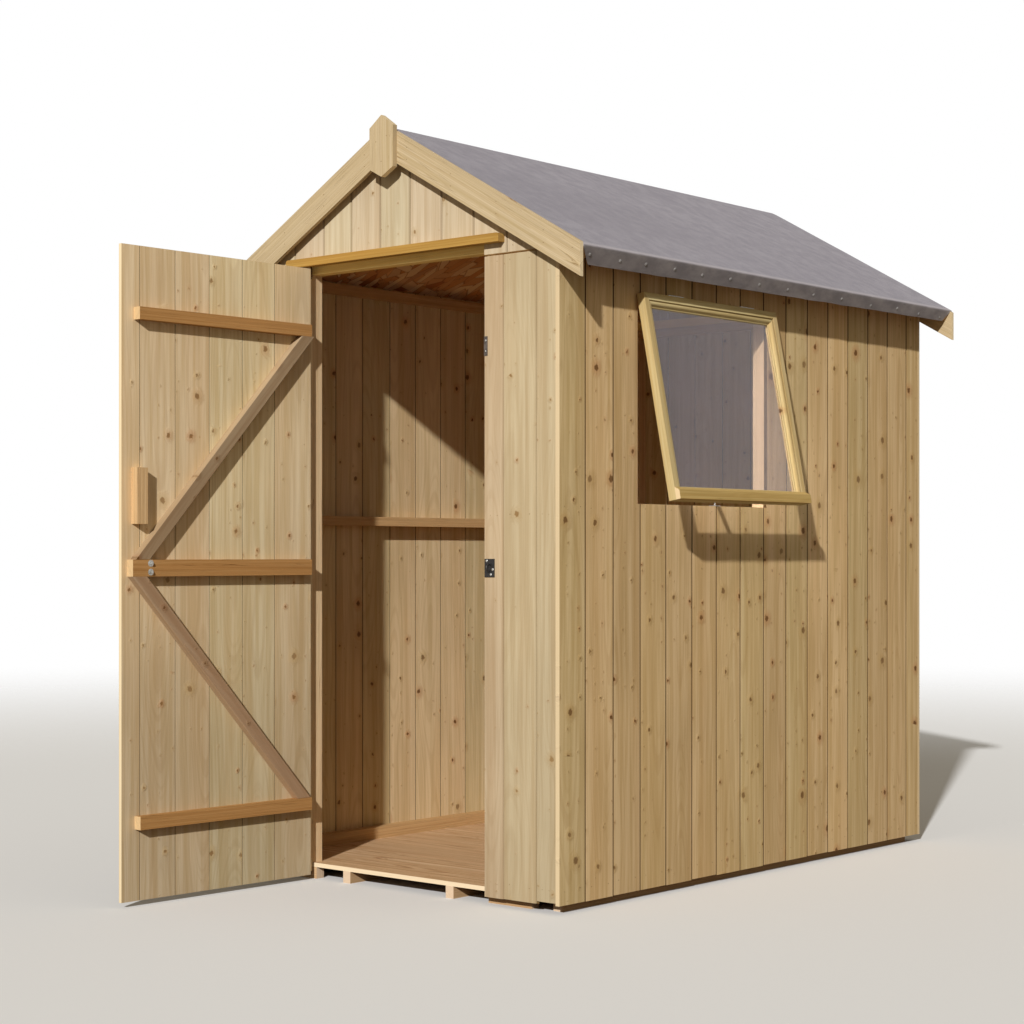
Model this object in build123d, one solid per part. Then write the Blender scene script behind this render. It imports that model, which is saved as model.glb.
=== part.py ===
from build123d import *
from math import cos, radians, sin, tan
import os

os.makedirs("parts", exist_ok=True)

# A wooden garden shed with an apex roof. Sizes are in millimetres.
# X runs across the shed from its centre line, with the window wall on the +X side.
# Y runs back from the face of the front boards. Z runs up from the ground.
# At the end every piece moves together, so that the origin is at the bottom centre of the whole.

# Walls
wall_length = 1820.0
wall_width = 1172.0
board_thickness = 12.0
stud_depth = 38.0
stud_width = 28.0
wall_bottom = 22.0
eaves_height = 1739.0
panel_drop = 39.0
panel_gap = 5.0
sole_rail_height = 35.0
middle_rail_bottom = 1007.0
top_rail_drop = 32.0

# Floor
bearer_width = 28.0
bearer_height = 33.0
deck_thickness = 12.0
floor_clearance = 2.0
inner_bearer_x = 195.0
outer_bearer_inset = 28.0
outer_bearer_setback = 45.0
left_noggin_end = 316.0
right_noggin_end = 320.0
right_noggin_setback = 16.0
noggin_reach = 470.0

# Doorway and the strip over it
doorway_width = 663.0
header_lift = 12.0
batten_length = 804.0
batten_height = 23.0
batten_depth = 25.0
batten_clearance = 6.0
batten_end_radius = 8.0
notch_lap = 4.0

# Door
door_bottom = 15.0
door_lap = 14.0
door_hinge_gap = 4.0
door_free_gap = 6.0
door_stop_gap = 5.0
door_open_angle = 92.0
ledge_thickness = 25.0
ledge_hinge_inset = 17.0
top_ledge_drop = 162.0
top_ledge_height = 33.0
top_ledge_inset = 40.0
middle_ledge_height = 44.0
middle_ledge_inset = 18.0
bottom_ledge_rise = 187.0
bottom_ledge_height = 35.0
bottom_ledge_inset = 42.0
brace_width = 34.0
upper_brace_hinge_inset = 13.0
upper_brace_free_inset = 33.0
lower_brace_hinge_inset = 28.0
lower_brace_free_inset = 24.0
lock_block_width = 34.0
lock_block_inset = 32.0
lock_block_rise = 93.0
lock_block_height = 147.0

# Door hinges and lock
hinge_metal = 2.5
knuckle_radius = 4.0
hinge_pin_radius = 2.0
hinge_pin_clearance = 0.2
knuckle_gap = 1.0
strap_knuckle_height = 20.0
plate_knuckle_height = 14.0
hinge_plate_width = 38.0
hinge_plate_height = 96.0
strap_length = 300.0
strap_width = 32.0
strap_tip_width = 16.0
hasp_inset = 55.0
hasp_width = 40.0
hasp_height = 45.0
hasp_flap_length = 72.0
hasp_flap_height = 28.0
staple_inset = 3.0
staple_width = 34.0
staple_height = 48.0
staple_rod_radius = 2.4
staple_loop_radius = 9.0
staple_leg = 3.0
keeper_drop = 40.0
keeper_width = 12.0
keeper_height = 51.0
keeper_thickness = 1.5

# Window
window_middle = 635.5
window_width = 614.0
window_head_drop = 131.0
window_height = 554.0
sash_overlap = 8.5
sash_head_overlap = 4.0
sash_foot_overlap = 6.0
sash_thickness = 24.0
sash_member = 38.0
sash_bottom_member = 34.0
sash_moulding = 5.0
sash_gap = 3.0
sash_open_angle = 11.0
glass_thickness = 4.0
glass_rebate = 9.0
weather_rail_height = 34.0
weather_rail_depth = 14.0
weather_rail_slope = 10.0
window_hinge_width = 68.0
window_hinge_inset = 112.0
window_hinge_leaf = 9.0
window_hinge_metal = 1.6
window_knuckle_radius = 2.6
stay_width = 12.0
stay_thickness = 3.0
stay_run = 170.0
stay_peg_radius = 3.0
stay_peg_inset = 14.0
stay_plate_length = 40.0

# Roof
roof_pitch = 29.5
roof_board = 9.0
eaves_overhang = 90.5
verge_overhang = 20.0
felt_thickness = 3.0
felt_front_drop = 51.0
felt_back_drop = 38.0
felt_front_cut = 44.0
felt_back_cut = 22.0
eave_batten_thickness = 20.0
eave_batten_lift = 2.0
verge_batten_height = 34.0

# Bargeboards and finials
bargeboard_thickness = 12.0
bargeboard_width = 76.0
bargeboard_rise = 4.0
front_bargeboard_overrun = -4.5
back_bargeboard_overrun = 5.0
finial_width = 89.0
finial_thickness = 16.0
finial_rise = 23.0
finial_shoulder = 32.0
finial_height = 168.0
finial_point = 24.0

# Places worked out from the sizes above
half_width = wall_width / 2
inner_face = half_width - board_thickness
frame_face = inner_face - stud_depth
half_doorway = doorway_width / 2
frame_back = board_thickness + stud_depth
floor_top = bearer_height + deck_thickness
floor_front = board_thickness + floor_clearance
slope = tan(radians(roof_pitch))
plumb = 1 / cos(radians(roof_pitch))
board_apex = eaves_height + half_width * slope
felt_seat = board_apex + roof_board * plumb
felt_apex = felt_seat + felt_thickness * plumb
roof_run = (half_width + eaves_overhang) * plumb
bargeboard_apex = felt_apex + bargeboard_rise
finial_top = bargeboard_apex + finial_rise
panel_top = eaves_height - panel_drop
top_rail_bottom = eaves_height - top_rail_drop
header_bottom = panel_top + header_lift
door_top = header_bottom + door_lap
batten_bottom = door_top + batten_clearance
window_bottom = eaves_height - window_head_drop - window_height
top_ledge = door_top - top_ledge_drop - top_ledge_height
bottom_ledge = door_bottom + bottom_ledge_rise
ledge_middles = (top_ledge + top_ledge_height / 2, bottom_ledge + bottom_ledge_height / 2)
door_middle = sum(ledge_middles) / 2
middle_ledge = door_middle - middle_ledge_height / 2
hinge_heights = (ledge_middles[1], door_middle, ledge_middles[0])
door_left = -half_doorway + door_hinge_gap
door_right = half_doorway - door_free_gap
door_back = board_thickness - door_stop_gap
door_face = door_back - board_thickness
pin_x = -half_doorway + door_hinge_gap / 2
pin_y = door_face - knuckle_radius
sash_width = window_width + 2 * sash_overlap
sash_start = window_middle - sash_width / 2
sash_top = window_bottom + window_height + sash_head_overlap
sash_low = window_bottom - sash_foot_overlap
sash_back = half_width + sash_gap
sash_front = sash_back + sash_thickness


def block(low, high):
    """A square-cut piece between two opposite corners."""
    size = [b - a for a, b in zip(low, high)]
    return Pos(*low) * Box(*size, align=(Align.MIN, Align.MIN, Align.MIN))


def across(points, start, end):
    """A piece with one outline in X and Z, from start to end along Y."""
    outline = make_face(Polyline(*points, close=True))
    return Pos(0, end, 0) * Rot(90, 0, 0) * extrude(outline, amount=end - start)


def left_of(piece):
    """The same piece on the other side of the centre line."""
    return mirror(piece, about=Plane.YZ)


def at_back(piece):
    """The same piece at the other end of the shed."""
    return mirror(piece, about=Plane.XZ.offset(-wall_length / 2))


def roof_height(x, apex):
    """Height of a roof surface at a distance x from the centre line."""
    return apex - abs(x) * slope


def on_roof(run, lift):
    """Point at a run down the slope from the ridge, lifted square from the boards' underside."""
    pitch = radians(roof_pitch)
    return run * cos(pitch) + lift * sin(pitch), board_apex - run * sin(pitch) + lift * cos(pitch)


def roof_strip(near, far, apex, thickness):
    """Outline of a strip under a roof surface, cut plumb at both ends."""
    depth = thickness * plumb
    top = [(near, roof_height(near, apex)), (far, roof_height(far, apex))]
    bottom = [(far, roof_height(far, apex) - depth), (near, roof_height(near, apex) - depth)]
    return top + bottom


def floor_bearers():
    """Bearers from front to back under the deck, the outer two with their ends set back."""
    half = bearer_width / 2
    outer = half_width - outer_bearer_inset - half
    places = [(-outer, outer_bearer_setback), (-inner_bearer_x, floor_front),
              (inner_bearer_x, floor_front), (outer, outer_bearer_setback)]
    return [
        block((x - half, front, 0), (x + half, wall_length - front, bearer_height))
        for x, front in places
    ]


def floor_noggins():
    """Short cross pieces beside the doorway and at the back, with the right front one set back."""
    ends = [(-noggin_reach, -left_noggin_end, floor_front),
            (right_noggin_end, noggin_reach, floor_front + right_noggin_setback)]
    fronts = [block((a, y, 0), (b, y + bearer_width, bearer_height)) for a, b, y in ends]
    return fronts + [at_back(noggin) for noggin in fronts]


def floor_deck():
    """The deck that the wall frames stand on."""
    side = inner_face - floor_clearance
    return block((-side, floor_front, bearer_height), (side, wall_length - floor_front, floor_top))


def front_side_wall():
    """Boards between the doorway and the right corner."""
    return block((half_doorway, 0, wall_bottom), (half_width, board_thickness, panel_top))


def front_posts():
    """Posts beside the doorway and at the corners."""
    inner = (half_doorway, half_doorway + stud_width)
    outer = (frame_face - stud_width, frame_face)
    right = [
        block((near, board_thickness, floor_top), (far, frame_back, header_bottom))
        for near, far in (inner, outer)
    ]
    return right + [left_of(post) for post in right]


def end_rail_heights():
    """Undersides and tops of the rails in the front and back walls."""
    return [
        (floor_top, floor_top + sole_rail_height),
        (middle_rail_bottom, middle_rail_bottom + stud_width),
        (header_bottom - stud_width, header_bottom),
    ]


def front_rails():
    """Rails between the front posts."""
    start = half_doorway + stud_width
    end = frame_face - stud_width
    right = [
        block((start, board_thickness, low), (end, frame_back, high))
        for low, high in end_rail_heights()
    ]
    return right + [left_of(rail) for rail in right]


def gable_points(bottom):
    """Outline of a gable up to the underside of the roof boards."""
    return [(-half_width, bottom), (half_width, bottom), (half_width, eaves_height),
            (0, board_apex), (-half_width, eaves_height)]


def front_gable():
    """Gable boards, notched over the doorway."""
    boards = across(gable_points(panel_top + panel_gap), 0, board_thickness)
    top = batten_bottom + notch_lap
    notch = block((-half_doorway, 0, panel_top), (half_doorway, board_thickness, top))
    return boards - notch


def header():
    """Bottom rail of a gable, on the posts."""
    low = (-frame_face, board_thickness, header_bottom)
    return block(low, (frame_face, frame_back, header_bottom + stud_width))


def rafter():
    """Sloping rail behind the gable boards, from the header to the ridge."""
    strip = across(roof_strip(0, frame_face, board_apex, stud_width), board_thickness, frame_back)
    seat = header_bottom + stud_width
    foot = block((0, board_thickness, header_bottom), (frame_face, frame_back, seat))
    near = frame_face - stud_width
    heel_points = [(frame_face, seat), (frame_face, roof_height(frame_face, board_apex)),
                   (near, roof_height(near, board_apex)), (near, seat)]
    return strip + across(heel_points, board_thickness, frame_back) - foot


def drip_batten():
    """Strip over the door, with rounded top corners."""
    half = batten_length / 2
    strip = block((-half, -batten_depth, batten_bottom), (half, 0, batten_bottom + batten_height))
    corners = strip.edges().filter_by(Axis.Y).group_by(Axis.Z)[-1]
    return fillet(corners, batten_end_radius)


def side_boards():
    """Boards of one side wall, cut to the roof's slope at the top."""
    points = [(inner_face, wall_bottom), (half_width, wall_bottom), (half_width, eaves_height),
              (inner_face, roof_height(inner_face, board_apex))]
    return across(points, board_thickness, wall_length - board_thickness)


def window_hole():
    """The window's cut through the right wall."""
    start = window_middle - window_width / 2
    return block((frame_face, start, window_bottom),
                 (half_width, start + window_width, window_bottom + window_height))


def side_posts():
    """End posts of the right side wall."""
    points = [(frame_face, floor_top), (inner_face, floor_top),
              (inner_face, roof_height(inner_face, board_apex)),
              (frame_face, roof_height(frame_face, board_apex))]
    front = across(points, board_thickness, board_thickness + stud_width)
    return [front, at_back(front)]


def side_rails(middle):
    """Rails of the right side wall, with the middle one at a given height."""
    start = board_thickness + stud_width
    heights = [(floor_top, floor_top + sole_rail_height), (middle, middle + stud_width),
               (top_rail_bottom, top_rail_bottom + stud_width)]
    return [
        block((frame_face, start, low), (inner_face, wall_length - start, high))
        for low, high in heights
    ]


def window_studs():
    """Studs beside the window, from the middle rail to the top rail."""
    start = window_middle - window_width / 2
    end = window_middle + window_width / 2
    return [
        block((frame_face, y, window_bottom), (inner_face, y + stud_width, top_rail_bottom))
        for y in (start - stud_width, end)
    ]


def window_head():
    """Rail over the window, between its studs."""
    bottom = window_bottom + window_height
    start = window_middle - window_width / 2
    return block((frame_face, start, bottom), (inner_face, start + window_width, bottom + stud_width))


def back_wall():
    """Boards of the back wall, below the gable."""
    front = block((-half_width, 0, wall_bottom), (half_width, board_thickness, panel_top))
    return at_back(front)


def back_posts():
    """Corner posts and a middle post of the back wall."""
    places = (-frame_face, -stud_width / 2, frame_face - stud_width)
    return [
        at_back(block((x, board_thickness, floor_top), (x + stud_width, frame_back, header_bottom)))
        for x in places
    ]


def back_rails():
    """Rails between the back posts."""
    start = stud_width / 2
    end = frame_face - stud_width
    right = [
        at_back(block((start, board_thickness, low), (end, frame_back, high)))
        for low, high in end_rail_heights()
    ]
    return right + [left_of(rail) for rail in right]


def roof_boards():
    """Right roof board, cut plumb at the ridge and square at the eaves."""
    outline = [(0, board_apex), on_roof(roof_run, 0), on_roof(roof_run, roof_board), (0, felt_seat)]
    return across(outline, -verge_overhang, wall_length + verge_overhang)


def felt_drop():
    """Felt folded square down at the right eave, with its corners cut away."""
    pitch = radians(roof_pitch)
    fold_x, fold_z = on_roof(roof_run + felt_thickness, roof_board + felt_thickness)
    face = Plane(origin=(fold_x, 0, fold_z), x_dir=(0, 1, 0), z_dir=(cos(pitch), 0, -sin(pitch)))
    start = -verge_overhang
    end = wall_length + verge_overhang
    points = [(start, 0), (start, -felt_thickness), (start + felt_front_cut, -felt_front_drop),
              (end - felt_back_cut, -felt_back_drop), (end, -felt_thickness), (end, 0)]
    return extrude(face * make_face(Polyline(*points, close=True)), amount=-felt_thickness)


def roof_felt():
    """Felt over the ridge and the back bargeboards, folded down over both eaves."""
    outside = roof_run + felt_thickness
    top = roof_board + felt_thickness
    back = wall_length + verge_overhang + bargeboard_thickness
    points = [(0, felt_apex), on_roof(outside, top), on_roof(outside, roof_board), (0, felt_seat)]
    right = across(points, -verge_overhang, back) + felt_drop()
    return right + left_of(right)


def eave_batten():
    """Batten under the right edge of the roof board, behind the felt's drop."""
    low = roof_board + felt_thickness - felt_back_drop + eave_batten_lift
    near = roof_run - eave_batten_thickness
    points = [on_roof(near, low), on_roof(roof_run, low), on_roof(roof_run, 0), on_roof(near, 0)]
    return across(points, -verge_overhang, wall_length + verge_overhang)


def verge_batten():
    """Batten under the roof board's front edge, outside the gable boards."""
    end = roof_run - eave_batten_thickness
    points = [(0, board_apex), on_roof(end, 0), on_roof(end, -verge_batten_height),
              (0, board_apex - verge_batten_height * plumb)]
    return across(points, -verge_overhang, 0)


def bargeboard(apex, overrun):
    """Right bargeboard at the front, cut plumb at the ridge and at its tail."""
    felt_fold = on_roof(roof_run + felt_thickness, roof_board + felt_thickness)
    tail = felt_fold[0] + overrun
    outline = roof_strip(0, tail, apex, bargeboard_width)
    return across(outline, -verge_overhang - bargeboard_thickness, -verge_overhang)


def finial(top):
    """Six-sided plate with points at the top and bottom, over the front bargeboards' joint."""
    half = finial_width / 2
    low = top - finial_height
    points = [(0, top), (half, top - finial_shoulder), (half, low + finial_point),
              (0, low), (-half, low + finial_point), (-half, top - finial_shoulder)]
    face = -verge_overhang - bargeboard_thickness
    return across(points, face - finial_thickness, face)


sash_hinge = Axis((sash_back, 0, sash_top), (0, 1, 0))


def tilted(piece):
    """A piece of the window turned out about its top edge."""
    return piece.rotate(sash_hinge, -sash_open_angle)


def window_sash():
    """Frame of the opening window, rebated for the glass and bevelled outside."""
    ring = block((sash_back, sash_start, sash_low), (sash_front, sash_start + sash_width, sash_top))
    sight_low = (sash_back, sash_start + sash_member, sash_low + sash_bottom_member)
    sight_high = (sash_front, sash_start + sash_width - sash_member, sash_top - sash_member)
    ring -= block(sight_low, sight_high)
    front_edges = ring.faces().sort_by(Axis.X)[-1].inner_wires().edges()
    ring = chamfer(front_edges, sash_moulding)
    return tilted(ring - glass_space())


def glass_space():
    """The pane, in the sash's rebate."""
    seat = sash_front - sash_moulding - glass_rebate
    reach = sash_member - glass_rebate
    bottom_reach = sash_bottom_member - glass_rebate
    return block((seat - glass_thickness, sash_start + reach, sash_low + bottom_reach),
                 (seat, sash_start + sash_width - reach, sash_top - reach))


def weather_rail():
    """Sloping strip along the foot of the sash that throws off rain."""
    top = sash_low + weather_rail_height
    points = [(sash_front, sash_low), (sash_front + weather_rail_depth, sash_low),
              (sash_front + weather_rail_depth, top - weather_rail_slope), (sash_front, top)]
    return tilted(across(points, sash_start, sash_start + sash_width))


def window_hinges():
    """Butt hinges with one leaf on the wall and one on the sash's top edge."""
    hinges = []
    middle = sash_start + sash_width / 2
    reach = sash_width / 2 - window_hinge_inset - window_hinge_width / 2
    for y in (middle - reach, middle + reach):
        start = y - window_hinge_width / 2
        end = y + window_hinge_width / 2
        centre_z = sash_top + window_knuckle_radius
        wall_leaf = block((half_width, start, sash_top),
                          (half_width + window_hinge_metal, end, sash_top + window_hinge_leaf))
        knuckle = Pos(half_width + window_knuckle_radius, y, centre_z) * Rot(90, 0, 0) * Cylinder(
            window_knuckle_radius, window_hinge_width)
        sash_leaf = tilted(block((sash_back, start, sash_top),
                                 (sash_front, end, sash_top + window_hinge_metal)))
        hinges.append(wall_leaf + knuckle + sash_leaf)
    return hinges


def window_stay():
    """Flat bar that holds the sash open, aslant from a bracket on the sash to a peg on the sill."""
    half = stay_width / 2
    start_y = window_middle - stay_run / 2
    end_y = window_middle + stay_run / 2
    bracket = tilted(block((sash_back - stay_thickness, start_y - half, sash_low),
                           (sash_back, start_y + half, sash_low + sash_bottom_member)))
    foot = bracket.center()
    bar_low = foot.Z - stay_thickness / 2
    peg_x = inner_face - stay_peg_inset
    run = Vector(peg_x - foot.X, end_y - start_y, 0)
    turn = Vector(1, 0, 0).get_signed_angle(run, Vector(0, 0, 1))
    bar = Box(run.length + half, stay_width, stay_thickness, align=(Align.MIN, Align.CENTER, Align.MIN))
    bar = Pos(foot.X, start_y, bar_low) * Rot(0, 0, turn) * bar
    sash_foot = tilted(block((sash_back, sash_start, sash_low),
                             (sash_front, sash_start + sash_width, sash_low + sash_bottom_member)))
    peg = Pos(peg_x, end_y, window_bottom) * Cylinder(
        stay_peg_radius, bar_low + stay_thickness - window_bottom,
        align=(Align.CENTER, Align.CENTER, Align.MIN))
    plate = block((peg_x - half, end_y - stay_plate_length / 2, window_bottom),
                  (peg_x + half, end_y + stay_plate_length / 2, window_bottom + stay_thickness))
    return (bar - sash_foot) + peg + plate + bracket


door_pin = Axis((pin_x, pin_y, 0), (0, 0, 1))


def opened(piece):
    """A piece of the shut door swung out to the angle it rests at."""
    return piece.rotate(door_pin, -door_open_angle)


def door_boards():
    """The door's upright boards."""
    return opened(block((door_left, door_face, door_bottom), (door_right, door_back, door_top)))


def door_ledges():
    """Cross pieces on the inside of the door."""
    ledges = []
    sizes = [(bottom_ledge, bottom_ledge_height, bottom_ledge_inset),
             (middle_ledge, middle_ledge_height, middle_ledge_inset),
             (top_ledge, top_ledge_height, top_ledge_inset)]
    for low, height, free_inset in sizes:
        start = (door_left + ledge_hinge_inset, door_back, low)
        end = (door_right - free_inset, door_back + ledge_thickness, low + height)
        ledges.append(opened(block(start, end)))
    return ledges


def brace(low, high, low_x, high_x):
    """Slanting piece between two ledges, cut level at both ends."""
    run = (high_x - low_x) / (high - low)
    half = brace_width / 2 * (1 + run ** 2) ** 0.5
    points = [(low_x - half, low), (low_x + half, low), (high_x + half, high), (high_x - half, high)]
    return opened(across(points, door_back, door_back + ledge_thickness))


def door_braces():
    """Braces between the ledges, slanting opposite ways."""
    hinge_side = door_left + brace_width / 2
    free_side = door_right - brace_width / 2
    upper = brace(middle_ledge + middle_ledge_height, top_ledge, free_side - upper_brace_free_inset,
                  hinge_side + upper_brace_hinge_inset)
    lower = brace(bottom_ledge + bottom_ledge_height, middle_ledge, hinge_side + lower_brace_hinge_inset,
                  free_side - lower_brace_free_inset)
    return [upper, lower]


def lock_block():
    """Block behind the lock's place, between the upper ledges."""
    right = door_right - lock_block_inset
    low = middle_ledge + middle_ledge_height + lock_block_rise
    return opened(block((right - lock_block_width, door_back, low),
                        (right, door_back + ledge_thickness, low + lock_block_height)))


def upright(radius, low, high):
    """A round bar on the door's pin line."""
    bar = Cylinder(radius, high - low, align=(Align.CENTER, Align.CENTER, Align.MIN))
    return Pos(pin_x, pin_y, low) * bar


def hinge_plates():
    """Fixed halves of the door's hinges, with their pins."""
    plates = []
    edge = pin_x - knuckle_radius - 2 * hinge_metal
    for z in hinge_heights:
        plate = block((edge - hinge_plate_width, -hinge_metal, z - hinge_plate_height / 2),
                      (edge, 0, z + hinge_plate_height / 2))
        near = strap_knuckle_height / 2 + knuckle_gap
        far = near + plate_knuckle_height
        for low, high in ((z - far, z - near), (z + near, z + far)):
            corner = (edge - hinge_metal, pin_y - hinge_metal / 2, low)
            plate += block(corner, (edge, 0, high))
            plate += block(corner, (pin_x, pin_y + hinge_metal / 2, high))
            plate += upright(knuckle_radius, low, high)
        plates.append(plate + upright(hinge_pin_radius, z - far, z + far))
    return plates


def hinge_straps():
    """Long tapered straps on the outside of the door."""
    straps = []
    wide_start = pin_x + knuckle_radius + knuckle_gap
    tip = pin_x + strap_length
    tip_radius = strap_tip_width / 2
    for z in hinge_heights:
        neck = strap_knuckle_height / 2
        points = [(pin_x, z - neck), (wide_start, z - neck), (wide_start, z - strap_width / 2),
                  (tip - tip_radius, z - tip_radius), (tip, z), (tip - tip_radius, z + tip_radius),
                  (wide_start, z + strap_width / 2), (wide_start, z + neck), (pin_x, z + neck)]
        strap = across(points, door_face - hinge_metal, door_face)
        strap += upright(knuckle_radius, z - neck, z + neck)
        strap -= upright(hinge_pin_radius + hinge_pin_clearance, z - neck, z + neck)
        straps.append(opened(strap))
    return straps


def door_hasp():
    """Hasp bolted to the outside of the door, with its flap folded back."""
    right = door_right - hasp_inset
    left = right - hasp_width
    half = hasp_height / 2
    base = block((left, door_face - hinge_metal, door_middle - half),
                 (right, door_face, door_middle + half))
    roll = Pos(left, door_face - hinge_metal, door_middle) * Cylinder(hinge_metal, hasp_flap_height)
    half_flap = hasp_flap_height / 2
    flap_low = (left - hasp_flap_length, door_face - 2 * hinge_metal, door_middle - half_flap)
    flap_high = (left, door_face - hinge_metal, door_middle + half_flap)
    return opened(base + roll + block(flap_low, flap_high))


def staple():
    """Staple plate on the front wall, with a loop for a padlock."""
    left = half_doorway + staple_inset
    middle_x = left + staple_width / 2
    middle_z = door_middle
    half = staple_height / 2
    plate = block((left, -hinge_metal, middle_z - half), (left + staple_width, 0, middle_z + half))
    for side in (-1, 1):
        leg = Pos(middle_x, -hinge_metal - staple_leg / 2, middle_z + side * staple_loop_radius)
        plate += leg * Rot(90, 0, 0) * Cylinder(staple_rod_radius, staple_leg)
    ring = Pos(middle_x, -hinge_metal - staple_leg, middle_z) * Rot(0, 90, 0) * Torus(
        staple_loop_radius, staple_rod_radius)
    reach = staple_loop_radius + staple_rod_radius
    front = block((middle_x - reach, -hinge_metal - staple_leg - reach, middle_z - reach),
                  (middle_x + reach, -hinge_metal - staple_leg, middle_z + reach))
    return plate + (ring & front)


def keeper_plate():
    """Thin plate on the front wall at the doorway's edge."""
    top = top_ledge - keeper_drop
    return block((half_doorway, -keeper_thickness, top - keeper_height),
                 (half_doorway + keeper_width, 0, top))


def all_pieces():
    """Every piece, by its name."""
    front_right = front_side_wall()
    right_boards = side_boards()
    right_posts = side_posts()
    left_rails = [left_of(rail) for rail in side_rails(middle_rail_bottom)]
    right_rails = side_rails(window_bottom - stud_width)
    front_bargeboard = bargeboard(bargeboard_apex, front_bargeboard_overrun)
    back_bargeboard = at_back(bargeboard(felt_seat, back_bargeboard_overrun))
    return {
        "floor_bearers": floor_bearers(),
        "floor_noggins": floor_noggins(),
        "floor_deck": floor_deck(),
        "front_left_wall": left_of(front_right),
        "front_right_wall": front_right,
        "front_gable": front_gable(),
        "back_wall": back_wall(),
        "back_gable": at_back(across(gable_points(panel_top + panel_gap), 0, board_thickness)),
        "left_wall": left_of(right_boards),
        "right_wall": right_boards - window_hole(),
        "end_wall_posts": front_posts() + back_posts(),
        "end_wall_rails": front_rails() + back_rails(),
        "side_wall_posts": right_posts + [left_of(post) for post in right_posts] + window_studs(),
        "side_wall_rails": left_rails + right_rails + [window_head()],
        "gable_headers": [header(), at_back(header())],
        "left_rafters": [left_of(rafter()), left_of(at_back(rafter()))],
        "right_rafters": [rafter(), at_back(rafter())],
        "drip_batten": drip_batten(),
        "left_roof_board": left_of(roof_boards()),
        "right_roof_board": roof_boards(),
        "roof_felt": roof_felt(),
        "eave_battens": [eave_batten(), left_of(eave_batten())],
        "left_verge_battens": [left_of(verge_batten()), left_of(at_back(verge_batten()))],
        "right_verge_battens": [verge_batten(), at_back(verge_batten())],
        "front_left_bargeboard": left_of(front_bargeboard),
        "front_right_bargeboard": front_bargeboard,
        "back_left_bargeboard": left_of(back_bargeboard),
        "back_right_bargeboard": back_bargeboard,
        "front_finial": finial(finial_top),
        "back_finial": at_back(finial(felt_seat)),
        "window_sash": window_sash(),
        "window_weather_rail": weather_rail(),
        "window_glass": tilted(glass_space()),
        "window_hinges": window_hinges(),
        "window_stay": window_stay(),
        "staple": staple(),
        "keeper_plate": keeper_plate(),
        "door_hinge_plates": hinge_plates(),
        "door_boards": door_boards(),
        "door_ledges": door_ledges(),
        "door_braces": door_braces(),
        "door_lock_block": lock_block(),
        "door_hinge_straps": hinge_straps(),
        "door_hasp": door_hasp(),
    }


def as_shape(piece):
    """One shape for a node, from one solid or a list of solids."""
    if isinstance(piece, list):
        return Compound(children=[solid for part in piece for solid in part.solids()])
    return piece


pieces = {name: as_shape(piece) for name, piece in all_pieces().items()}
boxes = [piece.bounding_box() for piece in pieces.values()]
low_x = min(box.min.X for box in boxes)
high_x = max(box.max.X for box in boxes)
low_y = min(box.min.Y for box in boxes)
high_y = max(box.max.Y for box in boxes)
centre_line = round(-(low_x + high_x) / 2)
front_face = round(-(low_y + high_y) / 2)
origin = Pos(centre_line, front_face, 0)

for name, piece in pieces.items():
    export_step(origin * piece, f"parts/{name}.step")

print("centre line x", centre_line, "front face y", front_face)
print("door pin", pin_x + centre_line, pin_y + front_face)
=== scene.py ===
import bmesh
import bpy
import math
import random
from mathutils import Matrix, Vector, noise
from mathutils.geometry import tessellate_polygon


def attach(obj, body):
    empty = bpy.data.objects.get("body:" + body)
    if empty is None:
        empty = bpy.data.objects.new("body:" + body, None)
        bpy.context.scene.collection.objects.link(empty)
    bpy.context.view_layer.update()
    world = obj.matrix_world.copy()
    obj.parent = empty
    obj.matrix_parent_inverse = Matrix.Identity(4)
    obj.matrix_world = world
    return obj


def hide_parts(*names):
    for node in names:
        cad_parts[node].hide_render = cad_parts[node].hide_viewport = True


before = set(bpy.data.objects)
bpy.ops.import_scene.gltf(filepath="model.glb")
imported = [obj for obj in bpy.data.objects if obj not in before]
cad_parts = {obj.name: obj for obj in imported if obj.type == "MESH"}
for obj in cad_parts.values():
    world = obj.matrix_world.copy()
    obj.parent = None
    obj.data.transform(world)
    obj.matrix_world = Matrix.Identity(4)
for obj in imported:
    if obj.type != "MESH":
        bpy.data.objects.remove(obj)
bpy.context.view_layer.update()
draw = random.Random(11)

# Sizes below are in millimetres in the shed's own axes: x from the centre line, y back from the
# face of the front boards, z up from the ground. SHED turns them into the frame's metres. DOOR and
# SASH do so for the door given shut and the sash given closed, which both stand open at rest.
CENTRE_X, FRONT_Y = -0.022, -0.602
SHED = Matrix.Translation((CENTRE_X, FRONT_Y, 0)) @ Matrix.Scale(0.001, 4)
RIGHT, LEFT, FRONT, BACK, UP = (1, 0, 0), (-1, 0, 0), (0, -1, 0), (0, 1, 0), (0, 0, 1)

# Walls
LENGTH, HALF, BOARD = 1820, 586, 12
HALF_DOORWAY = 331.5
BOTTOM, PANEL_TOP, GABLE_LOW, NOTCH_TOP, EAVES = 22, 1700, 1705, 1736, 1739
PITCH = math.radians(29.5)
SLOPE = math.tan(PITCH)
APEX = EAVES + HALF * SLOPE
WINDOW_START, WINDOW_END, SILL, WINDOW_TOP = 328.5, 942.5, 1054, 1608

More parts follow.
